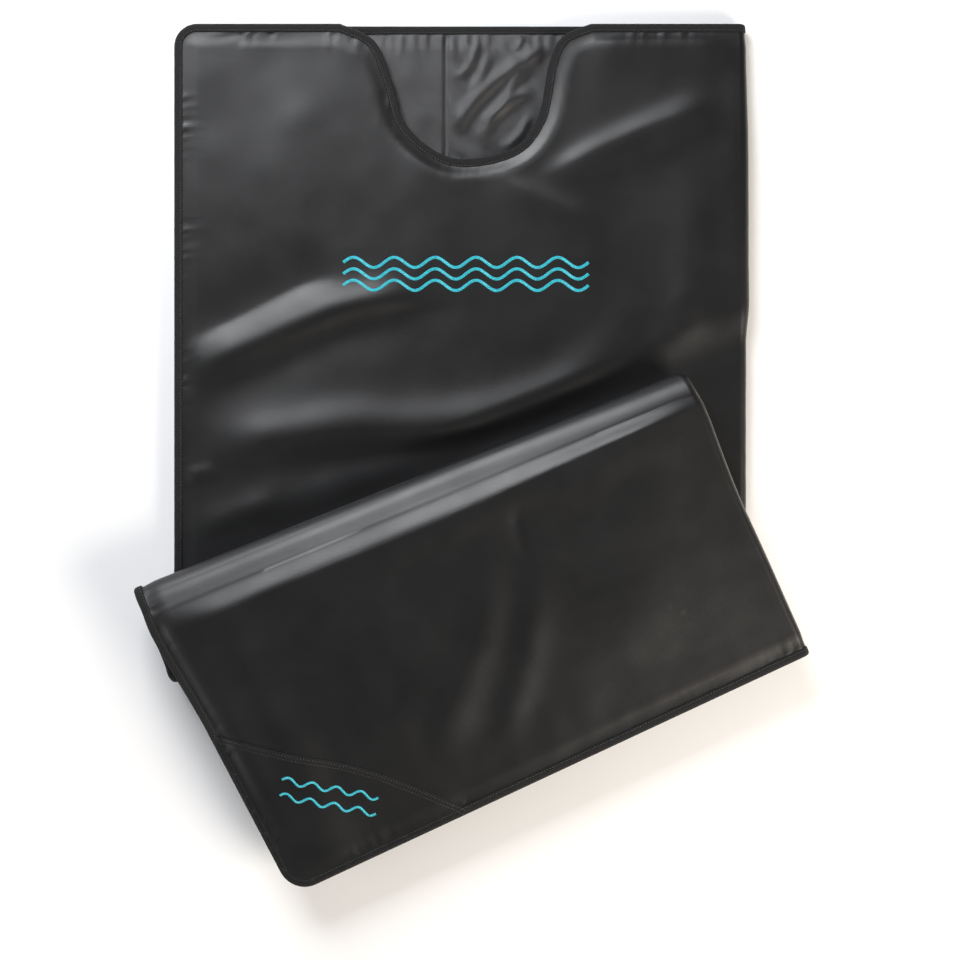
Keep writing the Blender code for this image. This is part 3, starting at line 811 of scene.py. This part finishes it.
def binding(name, owner):
    """The folded tape sewn over a body's free edge, with a slow unevenness along it."""
    profile = np.array(BINDING_PROFILE)
    inset = profile[:, 0] * BINDING
    width = len(profile)
    girth = np.concatenate([[0], np.cumsum(np.hypot(np.diff(inset), np.diff(profile[:, 1]) * SIDE))])
    pieces = []
    for number, (points, inward) in enumerate(edge_runs(owner)):
        steps = len(points)
        length = np.arange(steps) * EDGE_STEP
        turn = length * 2 * math.pi
        bulge = 1 + 0.05 * np.sin(turn / 0.021) + 0.04 * np.sin(turn / 0.033 + 1)
        flat = (points[:, None, :] + inward[:, None, :] * inset[None, :, None]).reshape(-1, 2)
        share = 0.5 + (profile[None, :, 1] - 0.5) * bulge[:, None]
        vertices = place(*flat.T, tape_depth(*flat.T, share.ravel()))
        uv = np.stack([np.repeat(length, width), np.tile(girth, steps)], axis=1)
        faces = grid_faces(steps, width, flipped=True)
        pieces.append(to_object(f"{name}_{number}", vertices, faces, [EDGE_TAPE], uv=uv))
    return joined(name, pieces)


STITCH_PITCH = 0.0048
STITCH_HEIGHT = 0.0007
STITCH = np.array([        # along the thread, across it, share of its height
    (-0.0016, 0, 0), (-0.001, 0.00042, 0.5), (-0.001, -0.00042, 0.5), (0, 0.0005, 1), (0, -0.0005, 1),
    (0.001, 0.00042, 0.5), (0.001, -0.00042, 0.5), (0.0016, 0, 0),
])
STITCH_FACES = [(0, 2, 1), (1, 2, 4, 3), (3, 4, 6, 5), (5, 6, 7)]
STITCH_SHARE = 0.78        # the tape's stitches lie this share of its width in from the edge
TAPE_FACES = {1: 0.120, -1: 0.880}      # surface: share of the side's thickness


def stitches(name, lines):
    """Short raised threads along lines, each given as (points in (c, t), base depth function, surface)."""
    vertices, faces, uv = [], [], []
    total = 0
    for line, depth_of, surface in lines:
        line = even_line(line, STITCH_PITCH)
        run, side = path_frame(line)
        at = line[:, None, :] + run[:, None, :] * STITCH[:, :1] + side[:, None, :] * STITCH[:, 1:2]
        flat = at.reshape(-1, 2)
        lift = np.tile(STITCH[:, 2], len(line)) * STITCH_HEIGHT
        depth = depth_of(*flat.T) - surface * (lift - 0.00005)
        vertices.append(place(*flat.T, depth))
        uv.append(flat)
        turned = [f[::-1] for f in STITCH_FACES] if surface > 0 else STITCH_FACES
        for base in range(total, total + len(flat), len(STITCH)):
            faces += [tuple(base + v for v in f) for f in turned]
        total += len(flat)
    return to_object(name, np.vstack(vertices), faces, [THREAD], uv=np.vstack(uv))


def binding_stitches(name, owner):
    lines = []
    for points, inward in edge_runs(owner):
        along = points + inward * BINDING * STITCH_SHARE
        for surface, share in TAPE_FACES.items():
            lines.append((along, lambda c, t, share=share: tape_depth(c, t, share), surface))
    return stitches(name, lines)


# ---- materials

def shader(name, dark, light, rough, mottle, bumps, flat=True, **sockets):
    """A procedural Principled material.

    Two tones mottled by noise, roughness between two values, and bumps given as (texture, scale, strength,
    distance in metres). flat reads the flat-bag UVs, otherwise the object's own coordinates.
    """
    made = bpy.data.materials.new(name)
    made.use_nodes = True
    nodes, links = made.node_tree.nodes, made.node_tree.links
    surface = nodes["Principled BSDF"]

    def fill(node, values):
        for socket, value in values.items():
            node.inputs[socket.replace("_", " ")].default_value = value
        return node

    fill(surface, sockets)
    if flat:
        where = nodes.new("ShaderNodeUVMap")
        where.uv_map = "flat"
        coordinate = where.outputs["UV"]
    else:
        coordinate = nodes.new("ShaderNodeTexCoord").outputs["Object"]

    def texture(kind, **values):
        node = fill(nodes.new(f"ShaderNodeTex{kind}"), values)
        links.new(coordinate, node.inputs["Vector"])
        return node

    tones = nodes.new("ShaderNodeValToRGB")
    for stop, position, tone in zip(tones.color_ramp.elements, (0.32, 0.68), (dark, light)):
        stop.position = position
        stop.color = (*tone, 1)
    links.new(texture("Noise", Scale=mottle, Detail=4).outputs["Fac"], tones.inputs["Fac"])
    links.new(tones.outputs["Color"], surface.inputs["Base Color"])
    polish = fill(nodes.new("ShaderNodeMapRange"), {"From Min": 0.3, "From Max": 0.7, "To Min": rough[0],
                                                    "To Max": rough[1]})
    links.new(texture("Noise", Scale=mottle * 2.7, Detail=3).outputs["Fac"], polish.inputs["Value"])
    links.new(polish.outputs["Result"], surface.inputs["Roughness"])
    normal = None
    for kind, scale, strength, distance in bumps:
        if kind == "noise":
            height = texture("Noise", Scale=scale, Detail=3).outputs["Fac"]
        elif kind == "grain":
            height = texture("Voronoi", Scale=scale).outputs["Distance"]
        else:
            bands = texture("Wave", Scale=scale, Distortion=0.6)
            bands.bands_direction = kind
            height = bands.outputs["Fac"]
        bump = fill(nodes.new("ShaderNodeBump"), {"Strength": strength, "Distance": distance})
        links.new(height, bump.inputs["Height"])
        if normal is not None:
            links.new(normal, bump.inputs["Normal"])
        normal = bump.outputs["Normal"]
    links.new(normal, surface.inputs["Normal"])
    return made


def thread_pitch(metres):
    """The Wave texture's scale for one band every so many metres."""
    return 0.314 / metres


def grey(value, blue=0.0):
    """A grey, with a little more blue."""
    return value, value, value + blue


LEATHER_BUMPS = [("grain", 1000, 0.22, 0.0003), ("noise", 320, 0.12, 0.0004), ("noise", 40, 0.08, 0.0015)]
WOVEN = [(way, thread_pitch(0.0006), 0.3, 0.0002) for way in ("X", "Y")]
LEATHER = shader("pu_leather", grey(0.0050, 0.0004), grey(0.0075, 0.0004), (0.38, 0.44), 5.0, LEATHER_BUMPS,
                 Sheen_Weight=0.02, Sheen_Roughness=0.4)
# painted warm highlight: lighter brown leather for the closed side's fold, standing in for the warm fill's
# reflection there
PAINTED_FOLD_HIGHLIGHT = shader("pu_leather_fold", (0.030, 0.022, 0.014), (0.110, 0.078, 0.048), (0.42, 0.52), 45.0,
                   LEATHER_BUMPS, Sheen_Weight=0.04, Sheen_Roughness=0.4)
LINING = shader("lining_cloth", grey(0.012, 0.001), grey(0.018, 0.001), (0.34, 0.42), 11.0,
                WOVEN + [("noise", 60, 0.25, 0.0015)], Sheen_Weight=0.10)
EDGE_TAPE = shader("edge_tape", grey(0.0040, 0.0003), grey(0.0100, 0.0005), (0.72, 0.88), 300.0,
                   [("DIAGONAL", thread_pitch(0.0026), 0.9, 0.0008), ("noise", 700, 0.6, 0.0006)],
                   Sheen_Weight=0.02, Sheen_Roughness=0.5, Specular_IOR_Level=0.30)
THREAD = shader("sewing_thread", grey(0.008, 0.001), grey(0.016, 0.001), (0.40, 0.60), 300.0,
                [("DIAGONAL", thread_pitch(0.0006), 0.6, 0.0003)], Sheen_Weight=0.2)
TURQUOISE = shader("embroidery_thread", (0.022, 0.400, 0.500), (0.040, 0.530, 0.640), (0.28, 0.42), 180.0,
                   [("X", thread_pitch(0.0009), 0.8, 0.0005)], Sheen_Weight=0.3, Sheen_Roughness=0.3)
PILE = shader("hook_and_loop", grey(0.006, 0.001), grey(0.020, 0.001), (0.80, 0.95), 500.0,
              [("noise", 1400, 0.9, 0.0010), ("grain", 700, 0.5, 0.0006)], Sheen_Weight=0.5,
              Sheen_Roughness=0.6)
WADDING = shader("batting_edge", grey(0.030, 0.002), grey(0.060, 0.002), (0.85, 0.95), 60.0,
                 [("noise", 500, 0.8, 0.0020)])
MOULDED = shader("moulded_plastic", grey(0.012, 0.001), grey(0.018, 0.001), (0.42, 0.55), 60.0,
                 [("noise", 1600, 0.25, 0.0002)], flat=False)
BRASS = shader("pin_brass", (0.55, 0.40, 0.16), (0.78, 0.60, 0.28), (0.20, 0.34), 300.0,
               [("noise", 2500, 0.15, 0.0001)], flat=False, Metallic=1.0)
CERAMIC = shader("cutoff_ceramic", (0.55, 0.54, 0.50), (0.72, 0.71, 0.67), (0.45, 0.60), 150.0,
                 [("noise", 1200, 0.2, 0.0002)], flat=False)
SILICONE = shader("lead_silicone", (0.30, 0.02, 0.015), (0.42, 0.035, 0.025), (0.45, 0.60), 120.0,
                  [("noise", 900, 0.2, 0.0002)], flat=False)
FLOOR = shader("studio_floor", grey(0.86), grey(0.89), (0.75, 0.90), 2.0,
               [("noise", 60, 0.05, 0.0010)], flat=False)
SKIN = [LEATHER, LINING, WADDING, PAINTED_FOLD_HIGHLIGHT]      # outside, inside, walls, painted warm highlight on the closed side
OUTSIDE, INSIDE, WALL, FOLD_HIGHLIGHT = range(4)
FOLD_HIGHLIGHT_SPAN = (FLAT_WIDTH + 0.38 * SPINE_ARC, FLAT_WIDTH + 0.72 * SPINE_ARC)      # span of the painted warm highlight along the closed side, in c


# ---- the padded sections

FOOT_SHIFT = -LOWER_ROLL - UPPER_ROLL
SLACK.update(
    head=simulate_cover("head_cover_cloth", -0.330, NECK_EDGE, 0.0, 0.0, 0.0,
                        lambda u, y: visible_front(u, y) < 0.25),
    foot=simulate_cover("foot_cover_cloth", HEM_Y, UPPER_PIVOT[1] + 0.03, FOOT_SHIFT, math.pi, FOOT_TURN,
                        lambda u, y: y > upper_line(u) - 0.02))

# Columns are spaced along c, in metres; rows are shares of the way down a section.
SPINE_RUN = (FLAT_WIDTH, FRONT_START, 0.0045)
HEAD_C = spaced((0, 0.30, 0.0065), (0.30, 0.63, 0.0034), (0.63, FLAT_WIDTH, 0.0065), SPINE_RUN,
                (FRONT_START, ACROSS, 0.0055))
MIDDLE_C = spaced((0, FLAT_WIDTH, 0.010), SPINE_RUN, (FRONT_START, ACROSS, 0.009))
FOOT_C = spaced((0, FLAT_WIDTH, 0.010), SPINE_RUN, (FRONT_START, ACROSS, 0.0060))
HEAD_ROWS = spaced((0, 0.24, 0.0036), (0.24, 0.94, 0.0060), (0.94, 1, 0.0050))
MIDDLE_ROWS = spaced((0, 0.14, 0.014), (0.14, 0.8, 0.035), (0.8, 1, 0.016))
FOOT_ROWS = spaced((0, 0.17, 0.0055), (0.17, 1, 0.0120))

SECTIONS = [               # body, columns, rows, top, bottom, part of it, the fold whose rolls it stands for
    ("head", HEAD_C, HEAD_ROWS, neck_end, lower_middle, "rest", "lower_fold"),
    ("neck_corner", HEAD_C, HEAD_ROWS, neck_end, lower_middle, "corner", None),
    ("middle", MIDDLE_C, MIDDLE_ROWS, lower_middle, upper_middle, "all", "upper_fold"),
    ("foot", FOOT_C, FOOT_ROWS, upper_middle, hem_end, "all", None),
]
LAYERS = ("cover", "batting", "heater", "lining")


def goes_with(obj, owner):
    """Rides on its body; the neck corner's pieces are left unparented, with their place baked into their
    vertices.
    """
    if owner == "neck_corner":
        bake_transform(obj)
    else:
        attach(obj, owner)
    return obj


for owner, columns, rows, top, bottom, part, fold in SECTIONS:
    shell = padded_panel(f"{owner}_padding", columns, rows, top, bottom, part)
    goes_with(shell, owner)
    panels = [owner] if part == "corner" else [f"{owner}_back", f"{owner}_front"]
    stands_for = [f"{panel}_{layer}" for panel in panels for layer in LAYERS]
    if part != "corner":
        stands_for.append(f"{owner}_spine")
    if fold:
        stands_for += [f"{fold}_{side}_roll" for side in ("back", "front")]
    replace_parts(shell, *sorted(stands_for))
    tape = goes_with(binding(f"{owner}_edge_tape", owner), owner)
    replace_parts(tape, *[f"{panel}_binding" for panel in panels])
    goes_with(binding_stitches(f"{owner}_edge_stitches", owner), owner)


# ---- lining seam, corner patch, embroidery

SEAM_T = np.linspace(0.258, 0.470, 40)
seam_lines = []
for shift in (-0.0045, 0.0045):
    seam_c = np.full_like(SEAM_T, LINING_SEAM_U + HALF + shift)
    seam_lines.append((np.stack([seam_c, SEAM_T], axis=1), lining_depth, -1))
goes_with(stitches("lining_seam_stitches", seam_lines), "head")

PATCH_EDGE = [(-0.44, -0.822), (-0.357, -0.888), (-0.27, -0.951), (-0.204, -1.013), (-0.125, -1.1)]
PATCH_LIFT = 0.0016        # thickness of the patch
PATCH_INSET = 0.006        # how far inside the free edge the patch ends, under the edge tape


def patch_grid():
    """(c, t) grid of the corner patch, from its sewn edge to the free edge of the foot."""
    curve = smooth_line([(float(front_c(u)), foot_t(y)) for u, y in PATCH_EDGE], 12)
    curve = even_line(curve, 0.006)
    curve = curve[edge_distance(*curve.T) > PATCH_INSET]
    inner = EDGE + EDGE_IN * PATCH_INSET
    start = np.linalg.norm(inner - curve[0], axis=1).argmin()
    stop = np.linalg.norm(inner - curve[-1], axis=1).argmin()
    step = -1 if (start - stop) % len(inner) < (stop - start) % len(inner) else 1
    count = (step * (stop - start)) % len(inner)
    border = inner[[(start + step * k) % len(inner) for k in range(count + 1)]]
    share = np.linspace(0, 1, len(curve))
    run = np.linspace(0, 1, len(border))
    border = np.stack([np.interp(share, run, border[:, k]) for k in range(2)], axis=1)
    across = np.concatenate([[0, 0.006, 0.02], np.linspace(0.05, 1, 30)])
    blend = across[None, :, None]
    return curve[:, None, :] * (1 - blend) + border[:, None, :] * blend, across


def patch_depth(c, t):
    return cover_depth(c, t) - PATCH_LIFT


grid, across = patch_grid()
flat_patch = grid.reshape(-1, 2)
points, normals = lay(*flat_patch.T, patch_depth)
sunk, _ = lay(*flat_patch.T, cover_depth)
first_row = np.tile(across == 0, len(grid))
points[first_row] = sunk[first_row]
patch_faces = grid_faces(len(grid), len(across))
patch = to_object("corner_patch_leather", points, patch_faces, [LEATHER], normals=normals, uv=flat_patch)
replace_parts(goes_with(patch, "foot"), "corner_patch")
TOWARD_CORNER = np.array([1.0, -0.75]) / 1.25
patch_lines = [(grid[:, 0] + TOWARD_CORNER * inset, patch_depth, 1) for inset in (0.0030, 0.0095)]
goes_with(stitches("corner_patch_stitches", patch_lines), "foot")
SEAM_HALF = 0.0014
SEAM_LIFT = PATCH_LIFT + 0.0006
for number, inset in enumerate((0.0004, 0.0062)):
    line = grid[:, 0] + TOWARD_CORNER * inset
    line = line[edge_distance(*line.T) > 0.010]
    seam = ribbon(f"corner_patch_seam_{number}", line, SEAM_HALF, SEAM_LIFT, EDGE_TAPE, 1)
    goes_with(seam, "foot")


def wave_line(start, end, offset, amplitude, periods):
    """(u, y) points of a sine line between two points, moved sideways by offset."""
    start, end = np.array(start, float), np.array(end, float)
    along = end - start
    side = np.array([-along[1], along[0]]) / np.linalg.norm(along)
    s = np.linspace(0, 1, WAVE_POINTS * periods)
    lift = offset + amplitude * np.sin(2 * math.pi * periods * s)
    return start + along * s[:, None] + side * lift[:, None]


EMBROIDERY_LIFT = 0.0011
WAVE_POINTS = 28           # points in one period of an embroidered wave


def embroidery(name, owner, node, waves_of, periods, half_width, past_peel=None, shift=0.0):
    """Wavy threads on the front cover. past_peel keeps only the part on one side of the peel line."""
    parts = []
    for number, (start, end, offset, amplitude) in enumerate(waves_of):
        line = wave_line(start, end, offset, amplitude, periods)
        if past_peel is not None:
            above = line[:, 1] > peel_line(line[:, 0])
            if not past_peel:
                above = np.append(above[1:], False)      # shares the point before the peel line
            line = line[above == past_peel]
        path = np.stack([front_c(line[:, 0]), t_of(*line.T)], axis=1)
        parts.append(ribbon(f"{name}_{number}", path, half_width, EMBROIDERY_LIFT + shift, TURQUOISE, 1))
    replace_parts(goes_with(joined(name, parts), owner), node)


CHEST_WAVES = [((-0.184, 0.088), (0.200, 0.088), offset, 0.0080) for offset in (-0.018, 0.0, 0.018)]
HEM_WAVES = [((-0.385, -0.935), (-0.262, -1.024), offset, 0.0050) for offset in (-0.013, 0.013)]
embroidery("chest_embroidery_left", "neck_corner", "embroidery_left", CHEST_WAVES, 6, 0.0025, True)
embroidery("chest_embroidery_right", "head", "embroidery_right", CHEST_WAVES, 6, 0.0025, False)
embroidery("hem_embroidery", "foot", "patch_embroidery", HEM_WAVES, 4, 0.0022, shift=PATCH_LIFT)


# ---- hook and loop tape, inlet mouth

TAPE_INSET = 0.030         # the tapes' middle, in from the open edge
TAPE_END = 0.045           # how far short of the neck edge and the hem they stop
TAPE_HALF = 0.0125
TAPE_LIFT = 0.0013


def tape_strip(name, owner, c_place, high, low, node):
    t = np.linspace(high, low, max(4, int((high - low) / 0.008)))
    path = np.stack([np.full_like(t, c_place), t], axis=1)
    strip = ribbon(name, path, TAPE_HALF, TAPE_LIFT, PILE, -1)
    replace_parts(goes_with(strip, owner), node)


for side, c_place in (("loop", TAPE_INSET), ("hook", ACROSS - TAPE_INSET)):
    at = np.array([c_place])
    stops = [NECK_EDGE - TAPE_END, lower_middle(at)[0], upper_middle(at)[0], HEM_T + TAPE_END]
    if side == "hook":
        peel_t = peel_line(column(at))[0]
        tape_strip("corner_hook_strip", "neck_corner", c_place, stops[0], peel_t, "corner_hook_tape")
        stops[0] = peel_t
    for owner, high, low in zip(("head", "middle", "foot"), stops, stops[1:]):
        tape_strip(f"{owner}_{side}_strip", owner, c_place, high, low, f"{owner}_{side}_tape")


def rounded_rectangle(width, height, radius, steps=5):
    """Points round a rectangle centred on the origin."""
    x, y = width / 2 - radius, height / 2 - radius
    corners = [corner_arc(centre, radius, 90 * k, steps + 1)
               for k, centre in enumerate([(x, y), (-x, y), (-x, -y), (x, -y)])]
    return np.concatenate(corners)


MOUTH_DEPTH = 0.0051       # depth of the mouth's middle below the outside
MOUTH_SECTIONS = [         # c, width along the edge, height, corner radius: outside, over the lip, inside
    (0.02, 0.029, 0.0086, 0.0015), (0.003, 0.03, 0.0094, 0.0018), (-0.0006, 0.0294, 0.009, 0.0018),
    (-0.0012, 0.027, 0.008, 0.0016), (-0.0008, 0.024, 0.0066, 0.0012), (0.001, 0.0226, 0.006, 0.0008),
    (0.0138, 0.0224, 0.0059, 0.0008),
]
rings = []
for c_place, width, height, radius in MOUTH_SECTIONS:
    ring = rounded_rectangle(width, height, radius)
    rings.append(place(np.full(len(ring), c_place), INLET_T + ring[:, 0], MOUTH_DEPTH + ring[:, 1]))
mouth_faces = grid_faces(len(rings), len(rings[0]), closed=True)
mouth = to_object("inlet_mouth", np.vstack(rings), mouth_faces, [MOULDED])
goes_with(mouth, "foot")
for name, material in (("inlet_housing", MOULDED), ("inlet_pin_1", BRASS), ("inlet_pin_2", BRASS),
                       ("thermal_cutoff", CERAMIC), ("heater_lead", SILICONE)):
    slots = frame["nodes"][name].data.materials
    slots.clear()
    slots.append(material)


# ---- floor, light and camera

bpy.ops.mesh.primitive_plane_add(size=14, location=(0, 0, -0.0005))
floor = bpy.context.object
floor.name = "studio_floor"
floor.data.materials.append(FLOOR)

world = bpy.data.worlds.new("studio")
world.use_nodes = True
sky = world.node_tree.nodes["Background"].inputs
sky["Color"].default_value = (0.95, 0.97, 1.0, 1)
sky["Strength"].default_value = 0.10
SCENE.world = world
SCENE.view_settings.view_transform = "Standard"

LAMP_SIZE = 1.8
LAMPS = [                  # name, place, aim, tint, power
    ("key", (-1.12, 2.14, 1.82), (0.0, -0.15, 0.0), (0.955, 0.97, 1.0), 134),
    ("warm_fill", (2.30, -1.90, 1.30), (0.1, -0.3, 0.0), (1.0, 0.92, 0.82), 150),
    ("low_fill", (-2.60, -1.40, 1.00), (0.0, -0.2, 0.0), (0.95, 0.97, 1.0), 28),
]
for name, place_at, aim, tint, power in LAMPS:
    data = bpy.data.lights.new(name, "AREA")
    data.size = LAMP_SIZE
    data.color = tint
    data.energy = power
    lamp = bpy.data.objects.new(name, data)
    lamp.location = place_at
    lamp.rotation_euler = (Vector(aim) - Vector(place_at)).to_track_quat("-Z", "Y").to_euler()
    SCENE.collection.objects.link(lamp)

camera_data = bpy.data.cameras.new("camera")
camera_data.lens = 63.9
camera = bpy.data.objects.new("camera", camera_data)
camera.location = (0.0301, -0.2346, 2.7)
SCENE.collection.objects.link(camera)
SCENE.camera = camera
